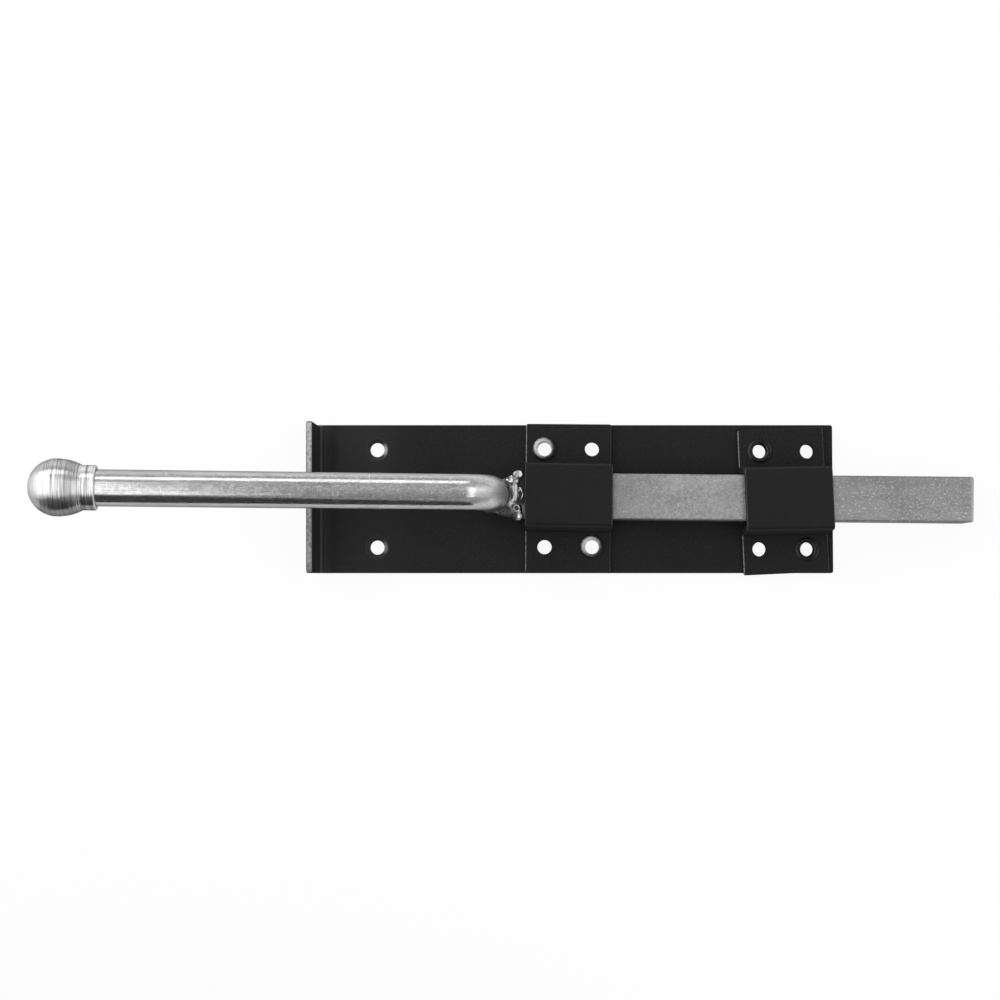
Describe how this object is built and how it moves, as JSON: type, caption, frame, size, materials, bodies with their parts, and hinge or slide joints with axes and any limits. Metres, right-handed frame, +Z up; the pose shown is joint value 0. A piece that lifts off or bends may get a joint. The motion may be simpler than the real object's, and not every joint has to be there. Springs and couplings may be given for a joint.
{
  "type": "monkey tail bolt",
  "caption": "Gate bolt: a square bar slides under strap keepers on a lipped back plate, thrown by a long round tail that ends in a turned knob.",
  "frame": {"origin": "middle of the back plate's back face", "axes": "+X along the throw, +Y across the plate, +Z up from the plate's back face towards the tail"},
  "size_m": [0.3021, 0.0511, 0.0572],
  "materials": {
    "black_paint": "semi-gloss powder coat",
    "bare_rivet": "bare rolled steel",
    "zinc_bar": "dull zinc plate",
    "zinc_tail": "bright zinc plate",
    "zinc_weld": "zinc plated weld"
  },
  "bodies": {
    "plate": {"back_plate": "black_paint", "rear_keeper": "black_paint", "front_keeper": "black_paint", "rear_rivets": "bare_rivet", "front_rivets": "black_paint"},
    "bolt": {"bolt_bar": "zinc_bar", "tail_rod": "zinc_tail", "weld_bead": "zinc_weld", "tail_knob": "zinc_tail"}
  },
  "joints": [
    {"name": "bolt_slide", "type": "slide", "parent": "plate", "child": "bolt", "axis": [1, -0.0094, 0], "range_m": [-0.0527, 0]}
  ]
}
